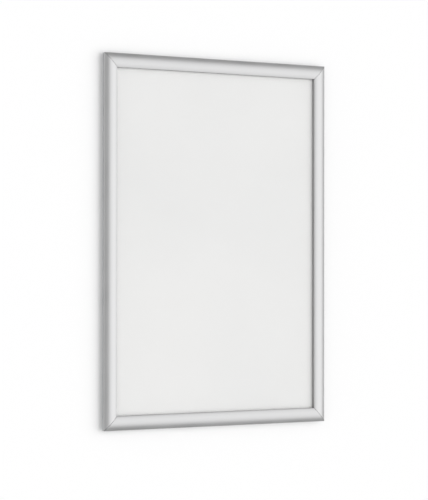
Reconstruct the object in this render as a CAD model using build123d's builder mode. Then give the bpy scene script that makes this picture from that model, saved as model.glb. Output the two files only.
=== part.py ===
from build123d import *
import os
from math import acos, atan2, cos, degrees, hypot, radians, sin, sqrt, tan

# A wall-mounted snap frame for one A2 poster. The origin is in the middle of the wall plane,
# +Z is up, +X is to the right and the front faces -Y. All lengths are in millimetres.
# Each rail is drawn in its own section plane: across runs inwards from the rail's outer edge,
# out runs forwards from the wall, and the third direction runs along the rail.

# Poster format and the sheets of the stack, from the wall outwards
poster_width = 420.0
poster_height = 594.0
back_panel_thickness = 1.0
poster_thickness = 0.25
cover_thickness = 0.5

# Snap rail: the rounded front rail
rail_width = 24.0
rail_depth = 10.0
crown_inset = 14.5
crown_radius = 28.0
slope_radius = 24.0
shoulder_radius = 2.3
lip_nose_radius = 0.5
snap_wall = 1.2
mitre_clearance = 0.3

# Hinge: a bead on the base rail in a hook of the snap rail
hinge_inset = 2.3
hinge_height = 3.9
bead_radius = 1.2
hinge_clearance = 0.05
neck_thickness = 0.9
neck_shift = 0.1
hook_end_angle = 50.0
skirt_lift = 0.75
toe_gap = 0.45
toe_thickness = 1.0
toe_depth = 2.2
relief_clearance = 0.3

# Base rail: the flat rail on the wall
web_thickness = 1.3
web_setback = 0.4
web_inner_setback = 1.0
key_rib_inset = 5.7
key_rib_thickness = 0.7
sheet_rib_thickness = 1.0
rib_lip_reach = 0.5
rib_lip_thickness = 0.45
sheet_play = 0.4

# Corner keys and their set screws
key_width = 7.0
key_thickness = 1.2
key_side_clearance = 0.1
key_lift = 0.1
key_arm_length = 45.0
key_end_chamfer = 1.5
screw_radius = 2.0
screw_length = 4.0
screw_clearance = 0.05
screw_from_corner = 32.0
screw_point_chamfer = 0.5
screw_socket_flat = 2.0
screw_socket_depth = 1.6

# Leaf springs
leaf_length = 30.0
leaf_thickness = 0.45
leaf_rise = 3.3
leaf_gap = 0.1
leaf_seat_lift = 0.3
short_side_leaf_pitch = 190.0
long_side_leaf_pitch = 150.0
short_side_leaves = 2
long_side_leaves = 3

# Wall screw holes
wall_hole_radius = 2.5
wall_hole_from_corner = 62.0

# One overrun serves all cuts
overrun = 2.0

# Sizes worked out from the ones above
channel_start = key_rib_inset + key_rib_thickness
channel_end = channel_start + key_width + 2 * key_side_clearance
channel_middle = (channel_start + channel_end) / 2
sheet_inset = channel_end + sheet_rib_thickness + sheet_play
frame_width = poster_width + 2 * sheet_inset
frame_height = poster_height + 2 * sheet_inset
key_bottom = web_thickness + key_lift
rib_lip_level = key_bottom + key_thickness
rib_top = rib_lip_level + rib_lip_thickness
poster_back = web_thickness + back_panel_thickness
cover_back = poster_back + poster_thickness
cover_front = cover_back + cover_thickness
socket_radius = bead_radius + hinge_clearance
neck_middle = hinge_inset + neck_shift
toe_start = neck_middle + neck_thickness / 2 + toe_gap
toe_end = toe_start + toe_thickness
toe_bottom = hinge_height - toe_depth
toe_swing = hypot(toe_end - hinge_inset, toe_depth)
skirt_level = hinge_height + skirt_lift
hook_relief = hinge_inset + toe_swing + relief_clearance

# Section arcs: the crown arc falls from the rail's top to the shoulder and the slope arc from there
# to the lip; the shoulder arc touches the one and the lip's nose the other from inside
crown_centre = rail_depth - crown_radius
slope_centre = rail_depth - slope_radius
shoulder_level = crown_centre + sqrt(
    (crown_radius - shoulder_radius) ** 2 - (crown_inset - shoulder_radius) ** 2
)
shoulder_join = degrees(atan2(shoulder_level - crown_centre, shoulder_radius - crown_inset))
nose_across = rail_width - lip_nose_radius
nose_level = slope_centre + sqrt(
    (slope_radius - lip_nose_radius) ** 2 - (nose_across - crown_inset) ** 2
)
nose_join = degrees(atan2(nose_level - slope_centre, nose_across - crown_inset))
lip_back = rail_width - snap_wall
inner_crown_radius = crown_radius - snap_wall
inner_slope_radius = slope_radius - snap_wall
inner_shoulder_radius = shoulder_radius - snap_wall
lip_back_join = degrees(acos((lip_back - crown_inset) / inner_slope_radius))

# For each side: the direction inwards, the distance from the origin to the outer edge,
# the length along the outer edge and the places of the leaf springs along it
short_leaf_places = [
    (i - (short_side_leaves - 1) / 2) * short_side_leaf_pitch for i in range(short_side_leaves)
]
long_leaf_places = [
    (i - (long_side_leaves - 1) / 2) * long_side_leaf_pitch for i in range(long_side_leaves)
]
sides = {
    "top": (Vector(0, 0, -1), frame_height / 2, frame_width, short_leaf_places),
    "bottom": (Vector(0, 0, 1), frame_height / 2, frame_width, short_leaf_places),
    "left": (Vector(1, 0, 0), frame_width / 2, frame_height, long_leaf_places),
    "right": (Vector(-1, 0, 0), frame_width / 2, frame_height, long_leaf_places),
}
forwards = Vector(0, -1, 0)


def section_plane(side, along=0.0):
    """Plane across a rail: x runs inwards from the outer edge and y forwards from the wall."""
    inwards, reach, _, _ = sides[side]
    run = inwards.cross(forwards)
    return Plane(origin=inwards * -reach + run * along, x_dir=inwards, z_dir=run)


def plan_plane(side, height=0.0):
    """Plane along the wall: x runs inwards from the outer edge and y along the rail."""
    inwards, reach, _, _ = sides[side]
    return Plane(origin=inwards * -reach + forwards * height, x_dir=inwards, z_dir=forwards)


def side_plane(side):
    """Plane along the rail's outer face: x runs forwards from the wall and y along the rail."""
    inwards, reach, _, _ = sides[side]
    return Plane(origin=inwards * -reach, x_dir=forwards, z_dir=inwards * -1)


def front_plane(height):
    """Plane parallel to the wall, seen from the front: x runs right and y up."""
    return Plane(origin=forwards * height, x_dir=(1, 0, 0), z_dir=forwards)


def block(start, end, low, high):
    """Rectangle between two places across and two heights out, in the open sketch."""
    with Locations((start, low)):
        Rectangle(end - start, high - low, align=(Align.MIN, Align.MIN))


def keep_between_mitres(side, clearance, depth):
    """Cut the open part's two ends on the 45 degree planes of the frame's corners."""
    half = sides[side][2] / 2
    with BuildSketch(plan_plane(side, -overrun)) as kept:
        with BuildLine():
            Polyline(
                (-overrun, half - clearance + overrun),
                (rail_width + overrun, half - clearance - rail_width - overrun),
                (rail_width + overrun, -(half - clearance - rail_width - overrun)),
                (-overrun, -(half - clearance + overrun)),
                close=True,
            )
        make_face()
    extrude(kept.sketch, amount=depth + 2 * overrun, mode=Mode.INTERSECT)


def make_base_rail(side):
    """Flat extrusion on the wall: web, hinge bead on its neck, and the two channel ribs."""
    with BuildPart() as rail:
        with BuildSketch(section_plane(side)):
            block(web_setback, rail_width - web_inner_setback, 0, web_thickness)
            block(neck_middle - neck_thickness / 2, neck_middle + neck_thickness / 2, 0, hinge_height)
            with Locations((hinge_inset, hinge_height)):
                Circle(bead_radius)
            block(key_rib_inset, channel_start, 0, rib_top)
            block(channel_start, channel_start + rib_lip_reach, rib_lip_level, rib_top)
            block(channel_end, channel_end + sheet_rib_thickness, 0, rib_top)
            block(channel_end - rib_lip_reach, channel_end, rib_lip_level, rib_top)
        extrude(amount=sides[side][2] / 2, both=True)
        keep_between_mitres(side, 0, rail_depth)
        if side in ("left", "right"):
            hole_reach = frame_height / 2 - wall_hole_from_corner
            with BuildSketch(plan_plane(side, -overrun)):
                with Locations((channel_middle, hole_reach), (channel_middle, -hole_reach)):
                    Circle(wall_hole_radius)
            extrude(amount=web_thickness + 2 * overrun, mode=Mode.SUBTRACT)
    return rail


def draw_snap_section():
    """Arched shell with its lip, the hook round the bead and the toe behind the hook."""
    shoulder = (shoulder_radius, shoulder_level)
    crown = (crown_inset, crown_centre)
    slope = (crown_inset, slope_centre)
    nose = (nose_across, nose_level)
    lip_back_top = slope_centre + inner_slope_radius * sin(radians(lip_back_join))
    with BuildLine() as shell:
        CenterArc(shoulder, shoulder_radius, shoulder_join, 180 - shoulder_join)
        CenterArc(crown, crown_radius, 90, shoulder_join - 90)
        CenterArc(slope, slope_radius, nose_join, 90 - nose_join)
        CenterArc(nose, lip_nose_radius, 0, nose_join)
        Polyline(
            (rail_width, nose_level),
            (rail_width, cover_front),
            (lip_back, cover_front),
            (lip_back, lip_back_top),
        )
        CenterArc(slope, inner_slope_radius, lip_back_join, 90 - lip_back_join)
        CenterArc(crown, inner_crown_radius, 90, shoulder_join - 90)
        CenterArc(shoulder, inner_shoulder_radius, shoulder_join, 180 - shoulder_join)
        Line((snap_wall, shoulder_level), (0, shoulder_level))
    make_face(shell.edges())
    with Locations((hinge_inset, hinge_height)):
        Circle(hinge_inset)
    mouth_end = hinge_inset + hinge_height / tan(radians(hook_end_angle))
    with BuildLine() as mouth:
        Polyline(
            (-overrun, skirt_level),
            (hinge_inset, skirt_level),
            (hinge_inset, hinge_height),
            (mouth_end, 0),
            (-overrun, 0),
            close=True,
        )
    make_face(mouth.edges(), mode=Mode.SUBTRACT)
    block(toe_start, toe_end, toe_bottom, hinge_height)
    with Locations((hinge_inset, hinge_height)):
        Circle(socket_radius, mode=Mode.SUBTRACT)


def relieve_hook_ends(side):
    """Shorten the hook and toe and bevel the skirt, so that a rail that turns clears the next one."""
    half = sides[side][2] / 2
    bevel = hinge_inset + hinge_height + mitre_clearance
    with BuildSketch(side_plane(side).offset(overrun)) as relief:
        with BuildLine():
            Polyline(
                (0, half - hook_relief),
                (hinge_height, half - hook_relief),
                (hinge_height, half + hinge_height - bevel),
                (bevel + overrun, half + overrun),
                (0, half + overrun),
                close=True,
            )
        make_face()
        mirror(relief.sketch_local, about=Plane.XZ)
    extrude(relief.sketch, amount=-(overrun + hook_relief), mode=Mode.SUBTRACT)


def make_snap_rail(side):
    """Rounded front rail that turns about its hinge bead."""
    with BuildPart() as rail:
        with BuildSketch(section_plane(side)):
            draw_snap_section()
        extrude(amount=sides[side][2] / 2, both=True)
        keep_between_mitres(side, mitre_clearance, rail_depth)
        relieve_hook_ends(side)
    return rail


def make_leaf_spring(side, place):
    """Arched strip of spring steel between the snap rail's toe and the base rail's inner rib."""
    toe_seat = (toe_end + leaf_gap + leaf_thickness / 2, toe_bottom + leaf_seat_lift)
    rib_seat = (channel_end - rib_lip_reach - leaf_thickness / 2, web_thickness + leaf_seat_lift)
    chord = hypot(rib_seat[0] - toe_seat[0], rib_seat[1] - toe_seat[1])
    radius = (chord * chord / 4 + leaf_rise * leaf_rise) / (2 * leaf_rise)
    tilt = atan2(rib_seat[1] - toe_seat[1], rib_seat[0] - toe_seat[0])
    drop = radius - leaf_rise
    middle = (
        (toe_seat[0] + rib_seat[0]) / 2 + drop * sin(tilt),
        (toe_seat[1] + rib_seat[1]) / 2 - drop * cos(tilt),
    )
    start = degrees(atan2(rib_seat[1] - middle[1], rib_seat[0] - middle[0]))
    sweep_angle = degrees(atan2(toe_seat[1] - middle[1], toe_seat[0] - middle[0])) - start
    outer = radius + leaf_thickness / 2
    inner = radius - leaf_thickness / 2
    with BuildPart() as leaf:
        with BuildSketch(section_plane(side, place)):
            with BuildLine():
                outer_arc = CenterArc(middle, outer, start, sweep_angle)
                inner_arc = CenterArc(middle, inner, start, sweep_angle)
                Line(outer_arc @ 0, inner_arc @ 0)
                Line(outer_arc @ 1, inner_arc @ 1)
            make_face()
        extrude(amount=leaf_length / 2, both=True)
    return leaf


def make_corner_key(across_sign, up_sign):
    """L-shaped steel key in the channels of two base rails, with a hole for each set screw."""
    with BuildPart() as key:
        with BuildSketch(front_plane(key_bottom)):
            with BuildLine():
                Polyline(key_outline(across_sign, up_sign), close=True)
            make_face()
        extrude(amount=key_thickness)
        with BuildSketch(front_plane(key_bottom - overrun)):
            with Locations(*screw_places(across_sign, up_sign)):
                Circle(screw_radius + screw_clearance)
        extrude(amount=key_thickness + 2 * overrun, mode=Mode.SUBTRACT)
    return key


def from_corner(across_sign, up_sign, across, down):
    """Place in the front plane from its distances to the frame's corner."""
    return (across_sign * (frame_width / 2 - across), up_sign * (frame_height / 2 - down))


def key_outline(across_sign, up_sign):
    """Corners of a key's L, with chamfered arm ends."""
    near = channel_start + key_side_clearance
    far = near + key_width
    tip = key_arm_length - key_end_chamfer
    arm = [
        (near, tip),
        (near + key_end_chamfer, key_arm_length),
        (far - key_end_chamfer, key_arm_length),
        (far, tip),
    ]
    corners = [(near, near)] + arm + [(far, far)] + [(down, across) for across, down in reversed(arm)]
    return [from_corner(across_sign, up_sign, across, down) for across, down in corners]


def screw_places(across_sign, up_sign):
    """Places of a key's two set screws in the front plane."""
    pairs = [(channel_middle, screw_from_corner), (screw_from_corner, channel_middle)]
    return [from_corner(across_sign, up_sign, across, down) for across, down in pairs]


def make_key_screws(across_sign, up_sign):
    """Two socket set screws that stand on the base rails' webs and lift the key against the ribs."""
    places = screw_places(across_sign, up_sign)
    with BuildPart() as screws:
        with BuildSketch(front_plane(web_thickness)):
            with Locations(*places):
                Circle(screw_radius)
        extrude(amount=screw_length)
        chamfer(screws.edges().group_by(Axis.Y)[-1], screw_point_chamfer)
        with BuildSketch(front_plane(web_thickness + screw_length)):
            with Locations(*places):
                RegularPolygon(screw_socket_flat / 2, 6, major_radius=False)
        extrude(amount=-screw_socket_depth, mode=Mode.SUBTRACT)
    return screws


def make_sheet(back, thickness):
    """One flat sheet of the stack behind the rails' lips."""
    with BuildPart() as sheet:
        with BuildSketch(front_plane(back)):
            Rectangle(poster_width, poster_height)
        extrude(amount=thickness)
    return sheet


def save(piece, label):
    """Label one sub-part and write it under that name."""
    piece.part.label = label
    export_step(piece.part, "parts/" + label + ".step")


os.makedirs("parts", exist_ok=True)

for side, (_, _, _, leaf_places) in sides.items():
    save(make_base_rail(side), "base_rail_" + side)
    save(make_snap_rail(side), "snap_rail_" + side)
    for number, place in enumerate(leaf_places, start=1):
        save(make_leaf_spring(side, place), "leaf_spring_" + side + "_" + str(number))

for up_name, up_sign in (("top", 1), ("bottom", -1)):
    for across_name, across_sign in (("left", -1), ("right", 1)):
        corner = up_name + "_" + across_name
        save(make_corner_key(across_sign, up_sign), "corner_key_" + corner)
        save(make_key_screws(across_sign, up_sign), "key_screws_" + corner)

save(make_sheet(web_thickness, back_panel_thickness), "back_panel")
save(make_sheet(poster_back, poster_thickness), "poster")
save(make_sheet(cover_back, cover_thickness), "cover_sheet")
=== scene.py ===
import math

import bmesh
import bpy
from mathutils import Matrix, Vector


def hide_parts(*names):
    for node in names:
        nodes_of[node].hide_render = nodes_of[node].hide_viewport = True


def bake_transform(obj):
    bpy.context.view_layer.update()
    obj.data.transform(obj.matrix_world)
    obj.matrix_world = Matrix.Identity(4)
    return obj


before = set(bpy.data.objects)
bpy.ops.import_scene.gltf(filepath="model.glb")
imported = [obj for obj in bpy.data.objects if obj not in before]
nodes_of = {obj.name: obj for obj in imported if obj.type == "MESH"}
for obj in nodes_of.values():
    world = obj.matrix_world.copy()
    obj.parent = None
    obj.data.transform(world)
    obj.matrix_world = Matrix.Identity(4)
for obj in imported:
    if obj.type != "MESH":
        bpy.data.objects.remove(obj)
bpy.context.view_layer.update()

MM = 0.001
WHITE = (1, 1, 1, 1)

# The four sides: the way inwards, and the outer edge's distance from the middle
half_width = 225 * MM
half_height = 312 * MM
front = Vector((0, -1, 0))
sides = {
    "top": (Vector((0, 0, -1)), half_height),
    "bottom": (Vector((0, 0, 1)), half_height),
    "left": (Vector((1, 0, 0)), half_width),
    "right": (Vector((-1, 0, 0)), half_width),
}

# Leaf springs: a seat is (inwards from the rail's outer edge, forwards from the back)
leaf_length = 30 * MM
leaf_thickness = 0.44 * MM
leaf_edge = 0.12 * MM
leaf_clips = (1.0 * MM, 0.55 * MM, 0.25 * MM, 0.08 * MM)
leaf_rise = 3.3 * MM
leaf_steps = 28
leaf_sharp = math.radians(35)
toe_seat = (4.625 * MM, 2.0 * MM)
rib_seat = (12.875 * MM, 1.6 * MM)
short_side = (-95 * MM, 95 * MM)
long_side = (-150 * MM, 0, 150 * MM)
leaf_places = {"top": short_side, "bottom": short_side, "left": long_side, "right": long_side}

# Finishes: each pair runs from the darkest grain to the lightest, or from the glossiest to the dullest
anodised = ((0.415, 0.415, 0.417), (0.45, 0.45, 0.452))
# The top and bottom rails' copy of the same anodising, a little darker: painted shade for the dimmer
# light on their crowns
anodised_with_painted_shade = ((0.385, 0.385, 0.387), (0.42, 0.42, 0.422))
mill = ((0.62, 0.63, 0.64), (0.72, 0.725, 0.73))
# Mitre faces: painted shade, a dark colour standing in for the shadow in the gap between mitred rail
# ends
mitre_painted_shade = ((0.09, 0.09, 0.092), (0.15, 0.15, 0.152))
sawn_rough = (0.55, 0.7)
sawn_facing = 0.5
satin_rough = 0.36
drawn_stretch = 0.01
saw_stretch = 0.05
drawn_share = 0.35
grain_range = (0.3, 0.7)
zinc = ((0.48, 0.49, 0.50), (0.62, 0.62, 0.61))
black_oxide = ((0.05, 0.05, 0.055), (0.10, 0.10, 0.105))
blued = ((0.34, 0.35, 0.37), (0.46, 0.465, 0.47))
panel_grey = ((0.66, 0.66, 0.655), (0.72, 0.72, 0.715))
paper_white = ((0.868, 0.866, 0.861), (0.898, 0.896, 0.891))
cover_clear = ((0.80, 0.81, 0.81), (0.84, 0.84, 0.83))
cover_rough = (0.3, 0.4)
cover_alpha = 0.15
matt_specular = 0.3
speck_share = 0.2

# Stage and light
reach = 30.0
wall_gap = 5 * MM
hidden_edge = 9 * MM
wall_colour = (0.93, 0.93, 0.93)
wall_glow = 0.038
floor_level = -1.5
floor_colour = (0.86, 0.86, 0.86)
dome_level = 0.56
polar_level = 0.42
dome_rise = (math.sin(math.radians(75)), math.sin(math.radians(40)))
box_gain = 1.48
box_bearing = math.radians(37.5)
box_reach = (math.radians(43.5), math.radians(27))
box_rise = (math.sin(math.radians(42)), math.sin(math.radians(20)))
fill_gain = 0.6
fill_bearing = math.radians(-62)
fill_narrowness = 6.0

# Camera
eye = Vector((-2.0133, -3.0352, -0.0475))
yaw = math.radians(33.504)
pitch = math.radians(0.550)
roll = math.radians(0.062)
lens_mm = 179.815
sensor_mm = 36.0
clip_far = 200


# Node helpers
def node(tree, kind, **settings):
    made = tree.nodes.new(kind)
    for key, value in settings.items():
        setattr(made, key, value)
    return made


def maths(tree, operation, *inputs):
    """A Math node whose inputs are sockets or numbers."""
    made = node(tree, "ShaderNodeMath", operation=operation)
    for socket, value in zip(made.inputs, inputs):
        if isinstance(value, (int, float)):
            socket.default_value = value
        else:
            tree.links.new(value, socket)
    return made.outputs["Value"]


def mapped(tree, value, start, end, kind="LINEAR"):
    """The value's span from the first to the last of start, mapped onto that of end."""
    made = node(tree, "ShaderNodeMapRange", interpolation_type=kind)
    made.inputs["From Min"].default_value = start[0]
    made.inputs["From Max"].default_value = start[1]
    made.inputs["To Min"].default_value = end[0]
    made.inputs["To Max"].default_value = end[1]
    tree.links.new(value, made.inputs["Value"])
    return made.outputs["Result"]


def coordinates(tree, scale=(1, 1, 1)):
    """Object coordinates; a small scale draws the grain out along its axis."""
    place = node(tree, "ShaderNodeTexCoord")
    mapping = node(tree, "ShaderNodeMapping")
    mapping.inputs["Scale"].default_value = scale
    tree.links.new(place.outputs["Object"], mapping.inputs["Vector"])
    return mapping.outputs["Vector"]


def noise(tree, vector, scale, detail, rough):
    made = node(tree, "ShaderNodeTexNoise")
    made.inputs["Scale"].default_value = scale
    made.inputs["Detail"].default_value = detail
    made.inputs["Roughness"].default_value = rough
    tree.links.new(vector, made.inputs["Vector"])
    return made.outputs["Fac"]


def tint(tree, value, colours):
    """The first colour at the low end of the grain's range and the second at its high end."""
    made = node(tree, "ShaderNodeValToRGB")
    for element, position, colour in zip(made.color_ramp.elements, grain_range, colours):
        element.position = position
        element.color = (*colour, 1)
    tree.links.new(value, made.inputs["Fac"])
    return made.outputs["Color"]


def surface(name, metallic, specular=0.5):
    made = bpy.data.materials.new(name)
    made.use_nodes = True
    tree = made.node_tree
    tree.nodes.clear()
    shader = node(tree, "ShaderNodeBsdfPrincipled")
    shader.inputs["Metallic"].default_value = metallic
    shader.inputs["Specular IOR Level"].default_value = specular
    output = node(tree, "ShaderNodeOutputMaterial")
    tree.links.new(shader.outputs["BSDF"], output.inputs["Surface"])
    return made, tree, shader


def relief(tree, shader, height, strength, distance):
    bump = node(tree, "ShaderNodeBump")
    bump.inputs["Strength"].default_value = strength
    bump.inputs["Distance"].default_value = distance
    tree.links.new(height, bump.inputs["Height"])
    tree.links.new(bump.outputs["Normal"], shader.inputs["Normal"])


def on_mitre(tree):
    """One on the faces sawn at 45 degrees, and zero elsewhere.

    They alone face both along X and along Z.
    """
    place = node(tree, "ShaderNodeTexCoord")
    parts = node(tree, "ShaderNodeSeparateXYZ")
    tree.links.new(place.outputs["Normal"], parts.inputs["Vector"])
    along_x, along_z = (maths(tree, "ABSOLUTE", parts.outputs[axis]) for axis in ("X", "Z"))
    return maths(tree, "GREATER_THAN", maths(tree, "MINIMUM", along_x, along_z), sawn_facing)


def choice(tree, kind, factor, first, second):
    """The first value where the factor is zero and the second where it is one."""
    made = node(tree, "ShaderNodeMix", data_type=kind)
    tree.links.new(factor, made.inputs["Factor"])
    ends = [socket for socket in made.inputs if socket.name in ("A", "B") and socket.enabled]
    tree.links.new(first, ends[0])
    tree.links.new(second, ends[1])
    return [socket for socket in made.outputs if socket.enabled][0]


# Materials
def extruded(name, axis, colours):
    """Aluminium drawn through a die: fine lines along the rail, faint clouding, a satin surface.

    The mitred ends are rougher, and darkened with painted shade for the shadowed gap between the rail
    ends.
    """
    made, tree, shader = surface(name, 1.0)
    stretch = [1.0, 1.0, 1.0]
    stretch[axis] = drawn_stretch
    lines = noise(tree, coordinates(tree, stretch), scale=2500, detail=4, rough=0.6)
    cloud = noise(tree, coordinates(tree), scale=14, detail=3, rough=0.5)
    mixed = maths(tree, "MULTIPLY_ADD", lines, drawn_share, cloud)
    teeth = noise(tree, coordinates(tree, (1, saw_stretch, 1)), scale=1800, detail=3, rough=0.6)
    on_end = on_mitre(tree)
    # Painted shade on the mitre faces: the dark colour stands in for the shadowed gap between rail
    # ends
    colour = choice(tree, "RGBA", on_end, tint(tree, mixed, colours), tint(tree, teeth, mitre_painted_shade))
    satin = mapped(tree, mixed, grain_range, (satin_rough - 0.04, satin_rough + 0.04))
    gloss = choice(tree, "FLOAT", on_end, satin, mapped(tree, teeth, grain_range, sawn_rough))
    tree.links.new(colour, shader.inputs["Base Color"])
    tree.links.new(gloss, shader.inputs["Roughness"])
    relief(tree, shader, lines, 0.12, 0.02 * MM)
    return made


def steel(name, colours, rough, grain):
    """Plated, oxidised or bare steel with fine specks that are darker where they are duller."""
    made, tree, shader = surface(name, 1.0)
    spots = noise(tree, coordinates(tree), scale=grain, detail=4, rough=0.6)
    gloss = mapped(tree, spots, grain_range, (rough + 0.08, rough - 0.08))
    tree.links.new(tint(tree, spots, colours), shader.inputs["Base Color"])
    tree.links.new(gloss, shader.inputs["Roughness"])
    relief(tree, shader, spots, 0.2, 0.03 * MM)
    return made


def matt(name, colours, rough, grain, depth):
    """Plastic or paper with a fine tooth and faint clouding."""
    made, tree, shader = surface(name, 0.0, matt_specular)
    spots = noise(tree, coordinates(tree), scale=grain, detail=5, rough=0.6)
    cloud = noise(tree, coordinates(tree), scale=3, detail=2, rough=0.5)
    mixed = maths(tree, "MULTIPLY_ADD", spots, speck_share, cloud)
    gloss = mapped(tree, spots, grain_range, (rough - 0.05, rough + 0.05))
    tree.links.new(tint(tree, mixed, colours), shader.inputs["Base Color"])
    tree.links.new(gloss, shader.inputs["Roughness"])
    relief(tree, shader, spots, 0.15, depth)
    return made


def clear_sheet(name):
    """The matt, glare-free cover: mostly see-through, with a soft sheen of its own."""
    made, tree, shader = surface(name, 0.0)
    haze = noise(tree, coordinates(tree), scale=900, detail=3, rough=0.6)
    cloud = noise(tree, coordinates(tree), scale=4, detail=2, rough=0.5)
    tree.links.new(tint(tree, cloud, cover_clear), shader.inputs["Base Color"])
    tree.links.new(mapped(tree, haze, grain_range, cover_rough), shader.inputs["Roughness"])
    relief(tree, shader, haze, 0.06, 0.02 * MM)
    shader.inputs["Alpha"].default_value = cover_alpha
    return made


# The top and bottom rails wear the darker copy of the anodising: painted shade, not a different finish
snap_x = extruded("snap_aluminium_x", 0, anodised_with_painted_shade)
snap_z = extruded("snap_aluminium_z", 2, anodised)
base_x = extruded("base_aluminium_x", 0, mill)
base_z = extruded("base_aluminium_z", 2, mill)
key_metal = steel("key_metal", zinc, rough=0.38, grain=260)
screw_metal = steel("screw_metal", black_oxide, rough=0.42, grain=500)
spring_metal = steel("spring_metal", blued, rough=0.30, grain=400)
panel_face = matt("panel_face", panel_grey, rough=0.55, grain=700, depth=0.03 * MM)
paper_face = matt("paper_face", paper_white, rough=0.75, grain=900, depth=0.02 * MM)
cover_face = clear_sheet("cover_face")


# Object helpers
def wear(obj, material):
    obj.data.materials.clear()
    obj.data.materials.append(material)


def placed(name, data):
    """A new object in the scene, from a mesh or a camera."""
    made = bpy.data.objects.new(name, data)
    bpy.context.scene.collection.objects.link(made)
    return made


for side in ("top", "bottom"):
    wear(nodes_of[f"snap_rail_{side}"], snap_x)
    wear(nodes_of[f"base_rail_{side}"], base_x)
    for end in ("left", "right"):
        wear(nodes_of[f"corner_key_{side}_{end}"], key_metal)
        wear(nodes_of[f"key_screws_{side}_{end}"], screw_metal)
for side in ("left", "right"):
    wear(nodes_of[f"snap_rail_{side}"], snap_z)
    wear(nodes_of[f"base_rail_{side}"], base_z)
wear(nodes_of["back_panel"], panel_face)
wear(nodes_of["poster"], paper_face)
wear(nodes_of["cover_sheet"], cover_face)


# Leaf springs
def in_frame(side, across, forwards, along):
    """Place in the part's frame from its place in a rail's section and along the rail."""
    inwards, half = sides[side]
    return inwards * (across - half) + front * forwards + inwards.cross(front) * along


def leaf_arc():
    """Centre, radius, start and turn of the strip's middle line, from the rib seat to the toe."""
    chord = math.dist(toe_seat, rib_seat)
    radius = (chord * chord / 4 + leaf_rise * leaf_rise) / (2 * leaf_rise)
    tilt = math.atan2(rib_seat[1] - toe_seat[1], rib_seat[0] - toe_seat[0])
    drop = radius - leaf_rise
    centre = ((toe_seat[0] + rib_seat[0]) / 2 + drop * math.sin(tilt),
              (toe_seat[1] + rib_seat[1]) / 2 - drop * math.cos(tilt))
    start = math.atan2(rib_seat[1] - centre[1], rib_seat[0] - centre[0])
    end = math.atan2(toe_seat[1] - centre[1], toe_seat[0] - centre[0])
    return centre, radius, start, end - start


def leaf_ring(step):
    """The cross section at one step: (offset along the rail, offset from the middle line)."""
    near_end = min(step, leaf_steps - step)
    clip = leaf_clips[near_end] if near_end < len(leaf_clips) else 0.0
    half = leaf_length / 2 - clip
    thick = leaf_thickness / 2
    return [(half, -thick + leaf_edge), (half, thick - leaf_edge), (half - leaf_edge, thick),
            (-half + leaf_edge, thick), (-half, thick - leaf_edge), (-half, -thick + leaf_edge),
            (-half + leaf_edge, -thick), (half - leaf_edge, -thick)]


def leaf_mesh(name, side, place):
    """A bent strip with bevelled long edges and clipped corners, seated in the rib and the toe."""
    centre, radius, start, turned = leaf_arc()
    points, faces = [], []
    for step in range(leaf_steps + 1):
        angle = start + turned * step / leaf_steps
        for along, off in leaf_ring(step):
            across = centre[0] + (radius + off) * math.cos(angle)
            forwards = centre[1] + (radius + off) * math.sin(angle)
            points.append(in_frame(side, across, forwards, place + along))
    count = len(points) // (leaf_steps + 1)
    last = leaf_steps * count
    for near in range(0, last, count):
        far = near + count
        for i in range(count):
            j = (i + 1) % count
            faces.append((near + i, near + j, far + j, far + i))
    faces.append(tuple(reversed(range(count))))
    faces.append(tuple(range(last, last + count)))
    mesh = bpy.data.meshes.new(name)
    mesh.from_pydata(points, [], faces)
    shaped = bmesh.new()
    shaped.from_mesh(mesh)
    bmesh.ops.recalc_face_normals(shaped, faces=shaped.faces)
    shaped.to_mesh(mesh)
    shaped.free()
    mesh.shade_smooth()
    mesh.set_sharp_from_angle(angle=leaf_sharp)
    return mesh


for side, places in leaf_places.items():
    for number, place in enumerate(places, start=1):
        name = f"leaf_{side}_{number}"
        leaf = placed(name, leaf_mesh(name, side, place))
        wear(leaf, spring_metal)
        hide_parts(f"leaf_spring_{side}_{number}")
        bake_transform(leaf)


# Stage: the wall that the frame hangs on, and a floor well below it
def plain(name, colour, glow):
    """A diffuse surface seen from its front only, with a little glow where it is background."""
    made = bpy.data.materials.new(name)
    made.use_nodes = True
    tree = made.node_tree
    tree.nodes.clear()
    paint = node(tree, "ShaderNodeBsdfDiffuse")
    paint.inputs["Color"].default_value = (*colour, 1)
    light = node(tree, "ShaderNodeEmission")
    path = node(tree, "ShaderNodeLightPath")
    seen = path.outputs["Is Camera Ray"]
    for ray in ("Is Glossy Ray", "Is Transmission Ray"):
        seen = maths(tree, "MAXIMUM", seen, path.outputs[ray])
    tree.links.new(maths(tree, "MULTIPLY", seen, glow), light.inputs["Strength"])
    both = node(tree, "ShaderNodeAddShader")
    tree.links.new(paint.outputs["BSDF"], both.inputs[0])
    tree.links.new(light.outputs["Emission"], both.inputs[1])
    clear = node(tree, "ShaderNodeBsdfTransparent")
    facing = node(tree, "ShaderNodeNewGeometry")
    mix = node(tree, "ShaderNodeMixShader")
    tree.links.new(facing.outputs["Backfacing"], mix.inputs["Fac"])
    tree.links.new(both.outputs["Shader"], mix.inputs[1])
    tree.links.new(clear.outputs["BSDF"], mix.inputs[2])
    output = node(tree, "ShaderNodeOutputMaterial")
    tree.links.new(mix.outputs["Shader"], output.inputs["Surface"])
    return made


def staged(name, points, faces, material):
    mesh = bpy.data.meshes.new(name)
    mesh.from_pydata(points, [], faces)
    mesh.materials.append(material)
    made = placed(name, mesh)
    return made


def corners(half_x, half_y):
    """The corners of a rectangle round the middle, in turn."""
    return [(-half_x, -half_y), (half_x, -half_y), (half_x, half_y), (-half_x, half_y)]


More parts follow.
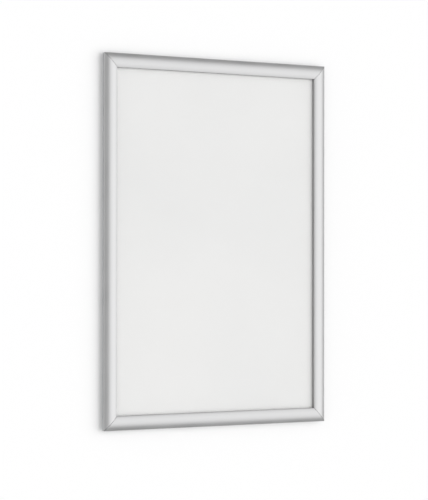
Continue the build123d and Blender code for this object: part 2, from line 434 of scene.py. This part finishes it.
# The wall is left open behind the frame, so that the frame's back keeps its light
wall_corners = corners(reach, reach) + corners(half_width - hidden_edge, half_height - hidden_edge)
staged("wall", [(x, wall_gap, z) for x, z in wall_corners],
       [(i, (i + 1) % 4, 4 + (i + 1) % 4, 4 + i) for i in range(4)],
       plain("wall_paint", wall_colour, wall_glow))
ground = staged("floor", [(x, y, floor_level) for x, y in corners(reach, reach)],
                [(0, 1, 2, 3)], plain("floor_paint", floor_colour, 0.0))
for kind in ("diffuse", "glossy", "transmission", "shadow"):
    setattr(ground, f"visible_{kind}", False)

# Light: a dome that is darker overhead and underfoot, a soft box to the front right, a weak left fill
world = bpy.data.worlds.new("dome")
bpy.context.scene.world = world
world.use_nodes = True
sky = world.node_tree
sky.nodes.clear()


def falling(value, limits):
    """One below the second limit, zero above the first, smooth between them."""
    return mapped(sky, value, (limits[1], limits[0]), (1.0, 0.0), "SMOOTHSTEP")


direction = node(sky, "ShaderNodeTexCoord").outputs["Generated"]
split = node(sky, "ShaderNodeSeparateXYZ")
sky.links.new(direction, split.inputs["Vector"])
forwards = maths(sky, "MULTIPLY", split.outputs["Y"], -1.0)
bearing = maths(sky, "ARCTAN2", split.outputs["X"], forwards)
aside = maths(sky, "ABSOLUTE", maths(sky, "SUBTRACT", bearing, box_bearing))
rise = maths(sky, "ABSOLUTE", split.outputs["Z"])
soft_box = maths(sky, "MULTIPLY", falling(aside, box_reach), falling(rise, box_rise))
nearness = node(sky, "ShaderNodeVectorMath", operation="DOT_PRODUCT")
nearness.inputs[1].default_value = (math.sin(fill_bearing), -math.cos(fill_bearing), 0.0)
sky.links.new(direction, nearness.inputs[0])
towards_fill = maths(sky, "MAXIMUM", nearness.outputs["Value"], 0.0)
fill = maths(sky, "POWER", towards_fill, fill_narrowness)
even = maths(sky, "MULTIPLY_ADD", falling(rise, dome_rise), dome_level - polar_level, polar_level)
with_box = maths(sky, "MULTIPLY_ADD", soft_box, box_gain, even)
level = maths(sky, "MULTIPLY_ADD", fill, fill_gain, with_box)
dome = node(sky, "ShaderNodeBackground")
dome.inputs["Color"].default_value = WHITE
sky.links.new(level, dome.inputs["Strength"])
sky_out = node(sky, "ShaderNodeOutputWorld")
sky.links.new(dome.outputs["Background"], sky_out.inputs["Surface"])

# View
ahead = Vector((math.sin(yaw) * math.cos(pitch), math.cos(yaw) * math.cos(pitch), math.sin(pitch)))
level_right = Vector((math.cos(yaw), -math.sin(yaw), 0.0))
upward = level_right.cross(ahead)
right_axis = level_right * math.cos(roll) + upward * math.sin(roll)
up_axis = upward * math.cos(roll) - level_right * math.sin(roll)
camera = placed("camera", bpy.data.cameras.new("camera"))
turn = Matrix((right_axis, up_axis, -ahead)).transposed()
camera.matrix_world = Matrix.Translation(eye) @ turn.to_4x4()
camera.data.sensor_fit = "HORIZONTAL"
camera.data.sensor_width = sensor_mm
camera.data.lens = lens_mm
camera.data.clip_end = clip_far
bpy.context.scene.camera = camera
bpy.context.scene.view_settings.view_transform = "Standard"
